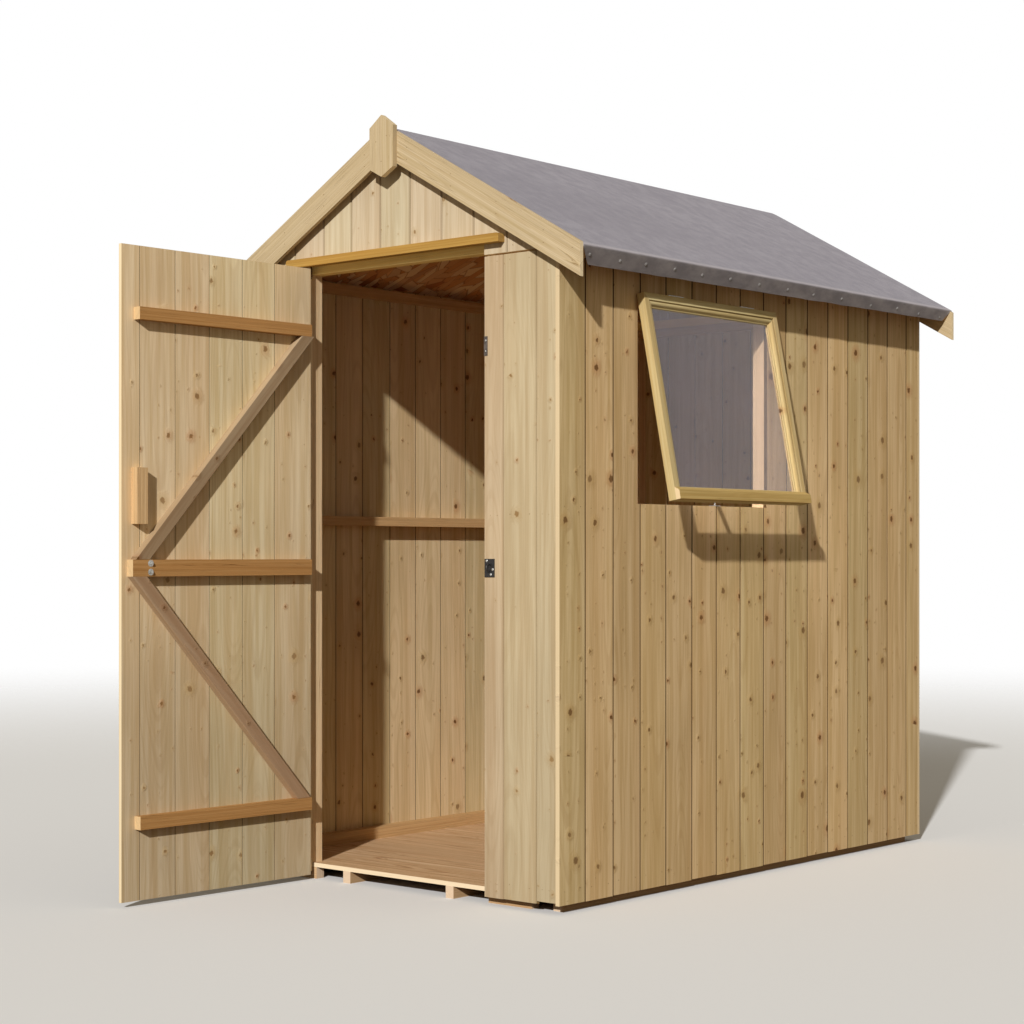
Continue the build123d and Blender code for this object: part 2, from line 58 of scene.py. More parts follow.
# Where each wall's boards meet
SIDE_EDGES = [0, 108, 225, 342, 457, 577, 693, 810, 928, 1045, 1160, 1273, 1387, 1503, 1620, 1736, 1808]
CORNER_EDGE = 509
RIGHT_PANEL_EDGES = [HALF_DOORWAY, 397, CORNER_EDGE, HALF - BOARD]
LEFT_PANEL_EDGES = [-edge for edge in RIGHT_PANEL_EDGES[::-1]]
GABLE_EDGES = [-HALF, -505, -389, -273, -163, -51, 61, 178, 293, 409, 525, HALF]
BACK_EDGES = [-HALF, -525, -409, -293, -177, -61, 55, 171, 287, 403, 519, HALF]
DOOR_EDGES = [-327.5, -194, -79, 36, 151, 267, 325.5]


def turned_about(point, degrees, axis):
    """SHED for pieces turned about a point."""
    turn = Matrix.Rotation(math.radians(degrees), 4, axis)
    return SHED @ Matrix.Translation(point) @ turn @ Matrix.Translation(-point)


# Door: its boards' face and ends, its ledges, its hasp's bolts, and its braces by the heights and
# the places across the door of their feet and heads
DOOR = turned_about(Vector((-329.5, -9, 0)), -92, "Z")
DOOR_FACE, DOOR_FOOT, DOOR_HEAD = -5, 15, 1726
DOOR_BACK = DOOR_FACE + BOARD
LEDGE_HEIGHTS, LEDGE_THICKNESS = (219.5, 883.5, 1547.5), 25
HASP_X, HASP_BOLTS = 250.5, (896, 873)
BRACES, BRACE_WIDTH = ((905.5, 1531, 275.5, -297.5), (237, 861.5, -282.5, 284.5)), 34

# Sash: its outside edges, its back and how thick it is
SASH_START, SASH_END, SASH_LOW, SASH_HIGH, SASH_BACK, SASH_THICK = 320, 951, 1048, 1612, 589, 24
SASH = turned_about(Vector((SASH_BACK, 0, SASH_HIGH)), -11, "Y")

# Felt: its ends, where its drops are full and how deep they hang, how far it runs down a slope, then
# its top over the rafters' line, the round of its fold, its thickness and how much it waves
FELT_START, FELT_END, DROP_START, DROP_END, BACK_CUT = -20, 1852, 24, 1818, 22
FRONT_DROP, BACK_DROP, CORNER_DROP = 51, 38, 5
FELT_RUN = (HALF + 90.5) / math.cos(PITCH) + 3
FELT_LIFT, FELT_FOLD, FELT_THICK, FELT_WAVE = 12, 4.5, 3, 1.3


def srgb(red, green, blue):
    """A colour given in 0 to 255, as the shader wants it."""
    parts = [value / 255 for value in (red, green, blue)]
    return tuple(p / 12.92 if p <= 0.04045 else ((p + 0.055) / 1.055) ** 2.4 for p in parts) + (1,)


def shaded(colour, red, green, blue):
    """A shader's colour, with a share of each of its parts."""
    return tuple(part * share for part, share in zip(colour, (red, green, blue, 1)))


# Materials

class Shader:
    """A material or a world built node by node."""

    def __init__(self, owner, output="OutputMaterial"):
        owner.use_nodes = True
        self.owner = owner
        self.tree = owner.node_tree
        self.tree.nodes.clear()
        self.output = self.add(output, {})

    def add(self, kind, inputs, **settings):
        node = self.tree.nodes.new("ShaderNode" + kind)
        for key, value in settings.items():
            setattr(node, key, value)
        for key, value in inputs.items():
            if isinstance(value, bpy.types.NodeSocket):
                self.tree.links.new(value, node.inputs[key])
            else:
                node.inputs[key].default_value = value
        return node

    def math(self, operation, *values):
        return self.add("Math", dict(enumerate(values)), operation=operation).outputs[0]

    def times(self, first, second):
        return self.math("MULTIPLY", first, second)

    def linear(self, value, slope, start):
        return self.math("MULTIPLY_ADD", value, slope, start)

    def vector(self, operation, *values, output="Vector"):
        return self.add("VectorMath", dict(enumerate(values)), operation=operation).outputs[output]

    def split(self, value):
        return list(self.add("SeparateXYZ", {0: value}).outputs)

    def join(self, *values):
        return self.add("CombineXYZ", dict(enumerate(values))).outputs[0]

    def ramp(self, value, low, high, start=0.0, end=1.0):
        inputs = {"Value": value, "From Min": low, "From Max": high, "To Min": start, "To Max": end}
        return self.add("MapRange", inputs, interpolation_type="SMOOTHSTEP").outputs[0]

    def noise(self, place, stretch, detail=2.0, rough=0.5):
        scaled = self.vector("MULTIPLY", place, stretch)
        inputs = {"Vector": scaled, "Scale": 1.0, "Detail": detail, "Roughness": rough}
        return self.add("TexNoise", inputs).outputs[0]

    def line_noise(self, value, detail=1.0):
        inputs = {"W": value, "Scale": 1.0, "Detail": detail}
        return self.add("TexNoise", inputs, noise_dimensions="1D").outputs[0]

    def cells(self, place, size, randomness=1.0, feature="F1"):
        inputs = {"Vector": place, "Scale": 1 / size, "Randomness": randomness}
        return self.add("TexVoronoi", inputs, voronoi_dimensions="2D", feature=feature).outputs

    def mix(self, share, first, second, blend="MIX"):
        inputs = {0: share, 6: first, 7: second}
        return self.add("Mix", inputs, data_type="RGBA", blend_type=blend).outputs[2]

    def blend(self, share, first, second):
        """Two surfaces mixed."""
        return self.add("MixShader", {0: share, 1: first.outputs[0], 2: second.outputs[0]})

    def bump(self, height, strength, distance):
        return self.add("Bump", {"Strength": strength, "Distance": distance, "Height": height}).outputs[0]

    def place(self):
        return self.add("TexCoord", {}).outputs["Object"]

    def seen(self):
        """1 for the camera's own rays, and for those that reach it by a mirror or through glass."""
        rays = self.add("LightPath", {}).outputs
        straight = self.math("MAXIMUM", rays["Is Camera Ray"], rays["Is Transmission Ray"])
        return self.math("MAXIMUM", straight, rays["Is Glossy Ray"])

    def close(self, surface):
        """Links the last node to the output and gives back the material or the world."""
        self.tree.links.new(surface.outputs[0], self.output.inputs[0])
        return self.owner

    def finish(self, **inputs):
        """Ends in a principled surface. In an input's name, an underscore stands for a space."""
        return self.close(self.add("BsdfPrincipled", {key.replace("_", " "): inputs[key] for key in inputs}))


def new_shader(name):
    """An empty material."""
    return Shader(bpy.data.materials.new(name))


def carried_grain(shader):
    """Places in the grain, a piece's own picks, and from 1 for freshly cut to -1 for sunk in a joint, where
    it takes painted shade.
    """
    names = (("grain", "Vector"), ("own", "Vector"), ("cut", "Fac"))
    return [shader.add("Attribute", {}, attribute_name=name).outputs[socket] for name, socket in names]


def straight_grain(shader, along, end_along):
    """The same for a piece with its grain along one direction and its end grain where it faces another."""
    coordinates = shader.add("TexCoord", {}).outputs
    turn = Vector((0, 0, 1)).rotation_difference(Vector(along)).inverted().to_euler()
    grain = shader.add("Mapping", {"Vector": coordinates["Object"], "Rotation": turn}).outputs[0]
    own = shader.noise(grain, (5.0, 5.0, 0.0), 0.0)
    end_way = Vector(end_along).normalized()
    facing = shader.vector("DOT_PRODUCT", coordinates["Normal"], end_way, output="Value")
    return grain, shader.join(own, 0.4, own), shader.ramp(shader.math("ABSOLUTE", facing), 0.75, 0.9)


def knot_layer(shader, place, cell, whorl, small, large):
    """Scattered knots: how deep in a knot, how deep in the wood round it, and a pick for its colour."""
    across, _, lengthwise = shader.split(place)
    cells = shader.cells(shader.join(across, shader.times(lengthwise, 0.9)), cell)
    pick_here, pick_size, pick_colour = shader.add("SeparateColor", {0: cells["Color"]}).outputs
    here = shader.math("LESS_THAN", pick_here, whorl)
    size = shader.linear(shader.math("POWER", pick_size, 1.8), large - small, small)
    size = shader.times(size, here)
    distance = shader.times(cells["Distance"], cell)
    core = shader.ramp(distance, size, shader.times(size, 0.55))
    halo = shader.ramp(distance, shader.times(size, 3.2), shader.times(size, 0.5))
    return shader.times(core, here), shader.times(halo, here), pick_colour


def knots_in(shader, place, share, size):
    """Big knots and pin knots, closer together at the whorls, as knot_layer gives them."""
    wobble = shader.add("TexNoise", {"Vector": place, "Scale": 150.0, "Detail": 1.0}).outputs[1]
    whorl = shader.ramp(shader.noise(place, (1.3, 1.3, 3.2), 1.0), 0.38, 0.58, 0.3 * share, share)
    bent = shader.vector("MULTIPLY_ADD", wobble, (0.008, 0.0, 0.01), place)
    big, big_halo, kind = knot_layer(shader, bent, 0.088, whorl, 0.003, 0.0098 * size)
    aside = shader.vector("ADD", bent, (3.3, 0, 7.7))
    pin, pin_halo, _ = knot_layer(shader, aside, 0.04, shader.times(whorl, 0.6), 0.0014, 0.0036 * size)
    knot = shader.math("MAXIMUM", big, shader.times(pin, 0.5))
    return knot, shader.math("MAXIMUM", big_halo, shader.times(pin_halo, 0.4)), kind


def ring_lines(shader, grain, place, picks, halo):
    """Year rings round a pith that wanders along the piece, pushed aside by its knots."""
    across, depth, _ = shader.split(grain)
    lengthwise = shader.split(place)[2]
    wander = shader.linear(shader.line_noise(shader.times(lengthwise, 1.5)), 0.05, -0.025)
    drift = shader.times(shader.line_noise(shader.linear(lengthwise, 1.1, 31.0)), 0.07)
    pith = shader.linear(picks[0], 0.17, -0.03)
    across = shader.math("ADD", shader.math("SUBTRACT", across, pith), wander)
    depth = shader.math("ADD", shader.linear(picks[1], 0.06, 0.004), shader.math("ADD", depth, drift))
    radius = shader.vector("LENGTH", shader.join(across, depth), output="Value")
    radius = shader.linear(halo, 0.008, radius)
    rings = shader.line_noise(shader.linear(radius, 260.0, shader.times(picks[2], 40.0)), 2.0)
    return shader.ramp(rings, 0.45, 0.68)


def tone_of(shader, lengthwise, pick, fibre, cloud, spread, foot):
    """How light the wood is: its own tone, fibres and broad clouds, and darker towards its foot if asked."""
    tone = shader.linear(pick, spread, 0.94 - spread / 2)
    tone = shader.times(tone, shader.linear(fibre, 0.16, 0.92))
    tone = shader.times(tone, shader.linear(cloud, 0.24, 0.94))
    if foot != 1:
        tone = shader.times(tone, shader.ramp(lengthwise, 0.1, 1.2, foot, 1.0))
    return shader.add("CombineColor", {0: tone, 1: tone, 2: tone}).outputs[0]


def timber(name, pale, tan, along=None, end_along=None, knots=0.5, knot_size=1.0,
           knot_colour=(104, 70, 36), ring_share=0.22, warm=0.35, tone_spread=0.14, foot=1.0,
           end=(238, 214, 174), joint=(78, 54, 28), outer_face_dimming=None):
    """Planed pine. Its grain runs along one direction, or is carried by the mesh where none is given."""
    shader = new_shader(name)
    pale, tan = srgb(*pale), srgb(*tan)
    grain, own, cut = straight_grain(shader, along, end_along or along) if along else carried_grain(shader)
    place = shader.vector("ADD", grain, shader.vector("MULTIPLY", own, (9.7, 3.1, 23.0)))
    picks = shader.split(own)
    _, inward, lengthwise = shader.split(grain)
    knot, halo, kind = knots_in(shader, place, knots, knot_size)
    lines = ring_lines(shader, grain, place, picks, halo)
    streak = shader.noise(place, (52.0, 52.0, 1.6), 3.0, 0.62)
    wide = shader.noise(place, (19.0, 19.0, 0.8), 1.0)
    cloud = shader.noise(place, (4.0, 4.0, 3.2), 1.0)
    fibre = shader.noise(place, (1000.0, 1000.0, 20.0), 1.0)

    colour = shader.mix(shader.ramp(streak, 0.34, 0.66), pale, tan)
    colour = shader.mix(shader.ramp(wide, 0.48, 0.64, end=warm), colour, shaded(tan, 0.97, 0.88, 0.8))
    colour = shader.mix(shader.times(lines, ring_share), colour, shaded(tan, 0.72, 0.62, 0.5))
    hue = shader.mix(shader.ramp(picks[1], 0.25, 0.75), (1.02, 0.985, 0.975, 1), (0.985, 1.0, 0.965, 1))
    colour = shader.mix(1.0, colour, hue, "MULTIPLY")
    tone = tone_of(shader, lengthwise, picks[2], fibre, cloud, tone_spread, foot)
    colour = shader.mix(1.0, colour, tone, "MULTIPLY")
    yellow, red = shaded(tan, 0.84, 0.74, 0.56), shaded(tan, 0.78, 0.44, 0.3)
    stain = shader.mix(shader.ramp(kind, 0.55, 0.75), yellow, red)
    colour = shader.mix(shader.times(halo, 0.42), colour, stain)
    colour = shader.mix(shader.times(knot, shader.linear(kind, 0.35, 0.6)), colour, srgb(*knot_colour))
    colour = shader.mix(shader.times(shader.math("MAXIMUM", cut, 0.0), 0.8), colour, srgb(*end))
    # Where asked, the outer face is dimmed from the material's pale colours, which carry painted light meant
    # for the lit inner face.
    if outer_face_dimming:
        dimmed_outer_face = shader.mix(1.0, colour, (*outer_face_dimming, 1), "MULTIPLY")
        colour = shader.mix(shader.ramp(inward, 0.003, 0.001), colour, dimmed_outer_face)
    # Painted shade: faces sunk in a joint, and the sash's quirk, take the joint colour.
    if not along:
        sunk = shader.math("MAXIMUM", shader.times(cut, -1.0), 0.0)
        colour = shader.mix(shader.times(sunk, 0.9), colour, srgb(*joint))

    swell = shader.linear(fibre, 0.1, shader.linear(knot, -0.45, shader.linear(cloud, 0.8, halo)))
    return shader.finish(Base_Color=colour, Roughness=shader.linear(streak, 0.14, 0.59),
                         Normal=shader.bump(swell, 0.6, 0.0016), IOR=1.45, Specular_IOR_Level=0.08)


def strand_board(name):
    """Pressed board of big flat strands lying all ways."""
    shader = new_shader(name)
    place = shader.place()
    colour, height = srgb(232, 176, 120), 0.0
    for turn, cell, share in ((0.5, 0.034, 0.75), (2.1, 0.028, 0.55), (1.3, 0.040, 0.45), (2.8, 0.024, 0.4)):
        turned = shader.add("Mapping", {"Vector": place, "Rotation": (0, 0, turn)}).outputs[0]
        lengthened = shader.vector("MULTIPLY", turned, (0.34, 1.0, 0.0))
        cells = shader.cells(lengthened, cell, 0.9)
        edge = shader.cells(lengthened, cell, 0.9, "DISTANCE_TO_EDGE")[0]
        pick_tone, pick_dark, pick_over = shader.add("SeparateColor", {0: cells["Color"]}).outputs
        fine = shader.noise(turned, (25.0, 700.0, 25.0), 2.0)
        strand = shader.mix(shader.ramp(pick_tone, 0.1, 0.9), srgb(220, 158, 100), srgb(252, 218, 168))
        strand = shader.mix(shader.ramp(pick_dark, 0.8, 0.95), strand, srgb(184, 118, 72))
        strand = shader.mix(shader.times(fine, 0.3), strand, srgb(166, 112, 66))
        strand = shader.mix(shader.ramp(edge, 0.08, 0.0, end=0.75), strand, srgb(164, 106, 64))
        over = shader.math("LESS_THAN", pick_over, share)
        colour = shader.mix(over, colour, strand)
        height = shader.math("MAXIMUM", height, shader.times(over, pick_tone))
    return shader.finish(Base_Color=colour, Roughness=0.7, Normal=shader.bump(height, 0.5, 0.001),
                         Specular_IOR_Level=0.08)


def mineral_felt(name):
    """Grey roofing felt with a coat of fine grains. Its top is lighter along the folds as a painted
    highlight, and its drops are darker as painted shade, with smudges.
    """
    shader = new_shader(name)
    coordinates = shader.add("TexCoord", {}).outputs
    place = coordinates["Object"]
    up = shader.split(coordinates["Normal"])[2]
    grains = shader.noise(place, [1300.0] * 3, 2.0, 0.7)
    mottle = shader.noise(place, [24.0] * 3, 4.0, 0.6)
    broad = shader.noise(place, (3.0, 1.2, 3.0), 2.0)
    smudge = shader.noise(place, (22.0, 11.0, 22.0), 4.0, 0.62)
    # The drops' colour: painted shade for faces turned down from the light, with smudges through it.
    drop_shade_and_smudge = shader.mix(shader.ramp(smudge, 0.35, 0.7), srgb(132, 127, 128), srgb(168, 162, 162))
    side = shader.math("ABSOLUTE", shader.math("SUBTRACT", shader.split(place)[0], CENTRE_X))
    # Painted highlight: the top face is lightened just above each fold.
    fold = shader.times(shader.ramp(side, 0.664, 0.678), shader.ramp(up, 0.3, 0.8))
    colour = shader.mix(shader.ramp(mottle, 0.3, 0.7), srgb(149, 146, 156), srgb(163, 160, 170))
    for share, over in ((shader.ramp(broad, 0.4, 0.7, end=0.4), srgb(141, 138, 148)),
                        (shader.ramp(grains, 0.52, 0.7, end=0.45), srgb(104, 99, 104)),
                        (shader.ramp(grains, 0.44, 0.3, end=0.35), srgb(200, 195, 198)),
                        # Faces turned down from the top take the drops' painted shade.
                        (shader.ramp(up, 0.55, 0.1, end=0.7), drop_shade_and_smudge),
                        (shader.times(fold, 0.5), srgb(190, 184, 188))):
        colour = shader.mix(share, colour, over)
    return shader.finish(Base_Color=colour, Roughness=shader.ramp(mottle, 0.2, 0.8, 0.85, 0.95),
                         Normal=shader.bump(grains, 0.5, 0.0008), Specular_IOR_Level=0.08)


def metal(name, dark, light, metallic, rough):
    """Steel with a faintly uneven finish."""
    shader = new_shader(name)
    place = shader.place()
    cloud = shader.noise(place, [160.0] * 3, 4.0, 0.6)
    fine = shader.noise(place, [2200.0] * 3, 2.0)
    colour = shader.mix(shader.ramp(cloud, 0.3, 0.7), srgb(*dark), srgb(*light))
    uneven = shader.ramp(cloud, 0.2, 0.8, rough, rough + 0.18)
    return shader.finish(Base_Color=colour, Metallic=metallic, Roughness=uneven,
                         Normal=shader.bump(fine, 0.15, 0.0002))


def window_pane(name):
    """Clear pane with a faint greyish tint and a faint diffuse veil, partly dirt and partly painted
    reflection in its violet tint; it lets shadow rays through.
    """
    shader = new_shader(name)
    smear = shader.noise(shader.place(), [5.0] * 3, 3.0)
    glass = shader.add("BsdfPrincipled", {
        "Base Color": shader.mix(smear, srgb(203, 199, 202), srgb(212, 208, 210)), "Transmission Weight": 1.0,
        "Roughness": shader.ramp(smear, 0.3, 0.7, 0.0, 0.03), "IOR": 1.5, "Specular IOR Level": 0.35})
    # The veil's colour: dirt on the pane, tinted violet as a painted reflection.
    dirt_and_reflection_veil = shader.add("BsdfDiffuse", {"Color": srgb(206, 186, 216)})
    veiled_glass = shader.blend(shader.ramp(smear, 0.3, 0.7, 0.01, 0.022), glass, dirt_and_reflection_veil)
    clear = shader.add("BsdfTransparent", {"Color": (0.95, 0.94, 0.95, 1)})
    shadow = shader.add("LightPath", {}).outputs["Is Shadow Ray"]
    return shader.close(shader.blend(shadow, veiled_glass, clear))


DOWN_RIGHT = (math.cos(PITCH), 0, -math.sin(PITCH))
DOWN_LEFT = (-math.cos(PITCH), 0, -math.sin(PITCH))
# The floor timbers' end grain colour, the third here, is duller than CUT: pale end grain with painted shade
# on it.
CUT, SOFT_KNOT, SHADED_GROUND_END = (246, 226, 188), (136, 102, 58), (228, 204, 178)

# Boards, braces and the sash, whose meshes carry their grain
cladding = timber("Cladding", (217, 191, 147), (196, 168, 120), knots=0.72, knot_size=1.25, warm=0.25,
                  end=(220, 199, 164))
pale_cladding = timber("PaleCladding", (226, 204, 164), (208, 184, 140), knots=0.55, warm=0.25)
front_cladding = timber("FrontCladding", (201, 183, 153), (186, 165, 133), knots=0.3, knot_colour=SOFT_KNOT,
                        ring_share=0.16, warm=0.2, tone_spread=0.06, foot=0.88, end=CUT, joint=(112, 88, 52))
gable_cladding = timber("GableCladding", (208, 194, 168), (194, 177, 148), knots=0.34, knot_colour=SOFT_KNOT,
                        ring_share=0.16, warm=0.2, tone_spread=0.06, joint=(104, 78, 44))
# The door's pale colours are painted light on its inner face; its outer face is dimmed back to the plain
# wood's colour.
door_cladding = timber("DoorCladding", (232, 214, 180), (214, 191, 150), knot_colour=(140, 104, 62),
                       # foot darkens the door towards the ground as painted shade.
                       warm=0.25, tone_spread=0.08, foot=0.74, end=CUT, outer_face_dimming=(0.7, 0.67, 0.62))
brace_wood = timber("BraceTimber", (172, 148, 121), (158, 131, 103), knots=0.4)
sash_wood = timber("SashTimber", (210, 193, 147), (194, 171, 120), knots=0.12, warm=0.2, tone_spread=0.06,
                   joint=(118, 90, 46))

# Timber with its grain along one direction
framing = {
    way: timber("Framing" + way, (208, 174, 128), (190, 154, 106), along, knots=0.4)
    for way, along in (("X", RIGHT), ("Y", BACK), ("Right", DOWN_RIGHT), ("Left", DOWN_LEFT))
}
trim = {
    way: timber("Trim" + way, (202, 185, 154), (184, 165, 128), along, knots=0.4, knot_colour=SOFT_KNOT,
                warm=0.2, end=CUT)
    for way, along in (("Z", UP), ("Right", DOWN_RIGHT), ("Left", DOWN_LEFT))
}
post_wood = timber("PostTimber", (234, 210, 172), (218, 192, 152), UP, knots=0.4, end=CUT)
header_wood = timber("HeaderTimber", (255, 232, 160), (252, 222, 142), RIGHT, knots=0.3)
golden = timber("GoldenBatten", (188, 152, 84), (170, 132, 66), RIGHT, knots=0.1, end=(178, 140, 80))
across_door = (DOOR.to_3x3() @ Vector(RIGHT)).normalized()
ledge_wood = timber("LedgeTimber", (192, 149, 97), (172, 128, 76), across_door, knots=0.35,
                    end=(226, 196, 150))
lock_wood = timber("LockBlockTimber", (220, 190, 146), (202, 168, 122), UP, knots=0.3)
rail_wood = timber("WeatherRailTimber", (195, 171, 114), (177, 150, 91), BACK, knots=0.1)
bearer_wood = timber("BearerTimber", (206, 176, 138), (188, 154, 114), BACK, knots=0.3, end=SHADED_GROUND_END)
noggin_wood = timber("NogginTimber", (214, 184, 146), (196, 162, 122), RIGHT, knots=0.3, end=SHADED_GROUND_END)
deck_sheet = timber("DeckSheet", (228, 200, 164), (192, 154, 112), RIGHT, BACK, knots=0.2, ring_share=0.8,
                    end=(246, 228, 196))

# Sheets, metals and glass
osb = strand_board("StrandBoard")
felt = mineral_felt("MineralFelt")
black_iron = metal("BlackJapan", (20, 19, 20), (34, 32, 32), 0.0, 0.36)
zinc = metal("ZincPlate", (176, 176, 172), (206, 206, 202), 1.0, 0.3)
dull_steel = metal("DullSteel", (84, 78, 74), (118, 110, 104), 0.9, 0.42)
dull_zinc = metal("DullZinc", (150, 146, 140), (182, 178, 172), 0.7, 0.42)
clout_zinc = metal("CloutZinc", (138, 136, 134), (166, 164, 162), 0.4, 0.5)
nail_head = metal("NailHead", (112, 84, 50), (138, 108, 68), 0.1, 0.6)
pane = window_pane("WindowPane")


# Mesh building

MERGE, EDGE_ANGLE = 1e-6, 35


class Pile:
    """Closed solids gathered into one mesh, each with its place in the timber it was cut from."""

    def __init__(self, matrix=SHED):
        self.matrix = matrix
        self.points, self.faces = [], []
        self.grain, self.own, self.cut = [], [], []

    def add(self, points, faces, grain=None, own=(0, 0, 0), cuts=None):
        start = len(self.points)
        self.points += [self.matrix @ Vector(point) for point in points]
        self.faces += [[start + index for index in face] for face in faces]
        self.grain += [Vector(place) / 1000 for place in (grain or points)]
        self.own += [own] * len(points)
        self.cut += cuts or [0.0] * len(faces)

    def make(self, name, material, body, *nodes, smooth=None):
        """The object, on its body and in place of its nodes."""
        mesh = bpy.data.meshes.new(name)
        mesh.from_pydata(self.points, [], self.faces)
        for key, values in (("grain", self.grain), ("own", self.own)):
            layer = mesh.attributes.new(key, "FLOAT_VECTOR", "POINT")
            layer.data.foreach_set("vector", [part for value in values for part in value])
        mesh.attributes.new("cut", "FLOAT", "FACE").data.foreach_set("value", self.cut)
        work = bmesh.new()
        work.from_mesh(mesh)
        bmesh.ops.remove_doubles(work, verts=work.verts, dist=MERGE)
        bmesh.ops.dissolve_degenerate(work, edges=work.edges, dist=MERGE)
        bmesh.ops.recalc_face_normals(work, faces=work.faces)
        work.to_mesh(mesh)
        work.free()
        mesh.materials.append(material)
        piece = bpy.data.objects.new(name, mesh)
        bpy.context.scene.collection.objects.link(piece)
        if smooth:
            mesh.shade_smooth()
            mesh.set_sharp_from_angle(angle=math.radians(smooth))
        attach(piece, body)
        if nodes:
            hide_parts(*nodes)
        return piece


def bevel(piece, width):
    """Rounds a piece's edges a little, width in millimetres."""
    change = piece.modifiers.new("Edges", "BEVEL")
    change.width = width / 1000
    change.segments = 2
    change.limit_method = "ANGLE"
    change.angle_limit = math.radians(EDGE_ANGLE)


def own_picks():
    """Three numbers that set a piece's tone and where it lay in its tree."""
    return draw.random(), draw.random(), draw.random()


def layered(levels, heights, side_cuts, cap_cut):
    """A solid of one outline at several heights, each a number or a function of the outline's point."""
    count = len(levels[0])
    points, faces, cuts = [], [], []
    for outline, height in zip(levels, heights):
        points += [(u, t, height(u, t) if callable(height) else height) for u, t in outline]
    for level in range(len(levels) - 1):
        for index in range(count):
            after = (index + 1) % count
            low, high = level * count, (level + 1) * count
            faces.append([low + index, low + after, high + after, high + index])
            cuts.append(side_cuts[index])
    for level, flip in ((0, True), (len(levels) - 1, False)):
        flat = [[Vector((u, t, 0)) for u, t in levels[level]]]
        for triangle in tessellate_polygon(flat):
            corners = [level * count + index for index in triangle]
            faces.append(corners[::-1] if flip else corners)
            cuts.append(cap_cut)
    return points, faces, cuts


# Boards

# A board's eased edges, its cupping, how fresh its ends are, and its tongue and groove by their
# depths from the face and how far they go
ARRIS, EASED, CUPPING = 0.5, 1.2, 0.6
CUT_ENDS = 0.7
TONGUE_FRONT, TONGUE_BACK, TONGUE = 4.2, 7.4, 6
GROOVE_FRONT, GROOVE_BACK, GROOVE = 4.0, 7.6, 5
# Each wall's joints: the gap, the widths of the vee's two sides, and how dark those are, as painted shade
# that is deeper on a side turned from the sun
SIDE_JOINT = (2.6, 1.0, 3.0, -0.4, -0.95)
FRONT_JOINT = (0.6, 2.8, 2.8, -0.3, -0.25)
GABLE_JOINT = (0.8, 3.2, 3.2, -0.45, -0.4)
DOOR_JOINT = (1.4, 2.4, 2.4, -0.5, -0.5)
FAR = 1e9
FREE = (-FAR, FAR)


def on_right(u, t, z):
    """A place on the right wall, u along it and t in from its face. The next four are alike."""
    return (HALF - t, u, z)


def on_left(u, t, z):
    return (t - HALF, u, z)


def on_front(u, t, z):
    return (u, t, z)


def on_back(u, t, z):
    return (u, LENGTH - t, z)


def on_door(u, t, z):
    return (u, t + DOOR_FACE, z)


def side_top(u, t):
    """The side boards' tops follow the roof."""
    return EAVES + t * SLOPE


def gable_top(u, t):
    """The gable boards' tops follow the roof, just under its boards."""
    return APEX - abs(u) * SLOPE - 0.5


def board_outline(start, end, first, last, joint, fresh, peak):
    """Outline across one tongued-and-grooved board, and how fresh or sunk in a joint each of its sides is;
    sunk sides take painted shade.
    """
    gap, near_vee, far_vee, near_tint, far_tint = joint
    near, far = start + (0 if first else gap / 2), end - (0 if last else gap / 2)
    left, left_cuts = [(near, BOARD), (near, EASED), (near + EASED, 0)], [fresh, fresh, 0.0]
    right, right_cuts = [(far - EASED, 0), (far, EASED), (far, BOARD)], [fresh, fresh, 0.0]
    if not first:
        left = [(near + ARRIS, BOARD), (near, BOARD - ARRIS), (near, GROOVE_BACK),
                (near + GROOVE, GROOVE_BACK), (near + GROOVE, GROOVE_FRONT), (near, GROOVE_FRONT),
                (near, near_vee), (near + near_vee, 0)]
        left_cuts = [-0.3, -1, -1, -1, -1, -1, near_tint, 0.0]
    if not last:
        right = [(far - far_vee, 0), (far, far_vee), (far, TONGUE_FRONT),
                 (far + TONGUE, TONGUE_FRONT), (far + TONGUE, TONGUE_BACK), (far, TONGUE_BACK),
                 (far, BOARD - ARRIS), (far - ARRIS, BOARD)]
        right_cuts = [far_tint, -1, -1, -1, -1, -1, -0.3, 0.0]
    middle, half = (near + far) / 2, (far - near) / 2 - max(near_vee, far_vee)
    places = [middle + half * step / 3 for step in (-2, -1, 0, 1, 2)]
    if peak is not None:
        places = sorted([place for place in places if abs(place - peak) > 1] + [peak])
    front = [(place, CUPPING * (((place - middle) / half) ** 2 - 1)) for place in places]
    back = [(peak, BOARD)] if peak is not None else []
    return left + front + right + back, left_cuts + [0.0] * len(front) + right_cuts + [0.0] * len(back)


def add_board(pile, turn, span, levels, joint, fresh=1.0, peak=None):
    """One board. levels lists (height, lowest u, highest u); turn maps (u, t, z) to the shed's axes."""
    outline, cuts = board_outline(*span, joint, fresh, peak)
    outlines = [[(min(max(u, low), high), t) for u, t in outline] for _, low, high in levels]
    points, faces, face_cuts = layered(outlines, [level[0] for level in levels], cuts, CUT_ENDS)
    own = own_picks()
    start, end = span[:2]
    turned_round = draw.choice((-1, 1)) < 0
    grain = [((end - u) if turned_round else (u - start), t, z) for u, t, z in points]
    pile.add([turn(*point) for point in points], faces, grain, own, face_cuts)


def spans(edges):
    """Neighbouring pairs, with whether each is the first and the last."""
    pairs = list(zip(edges, edges[1:]))
    return [(a, b, index == 0, index == len(pairs) - 1) for index, (a, b) in enumerate(pairs)]


def whole(*heights):
    """Levels over a board's whole width."""
    return [(height, *FREE) for height in heights]


def ridge_in(span):
    """The ridge's place, for the board that runs up to it."""
    return 0 if span[0] < 0 < span[1] else None


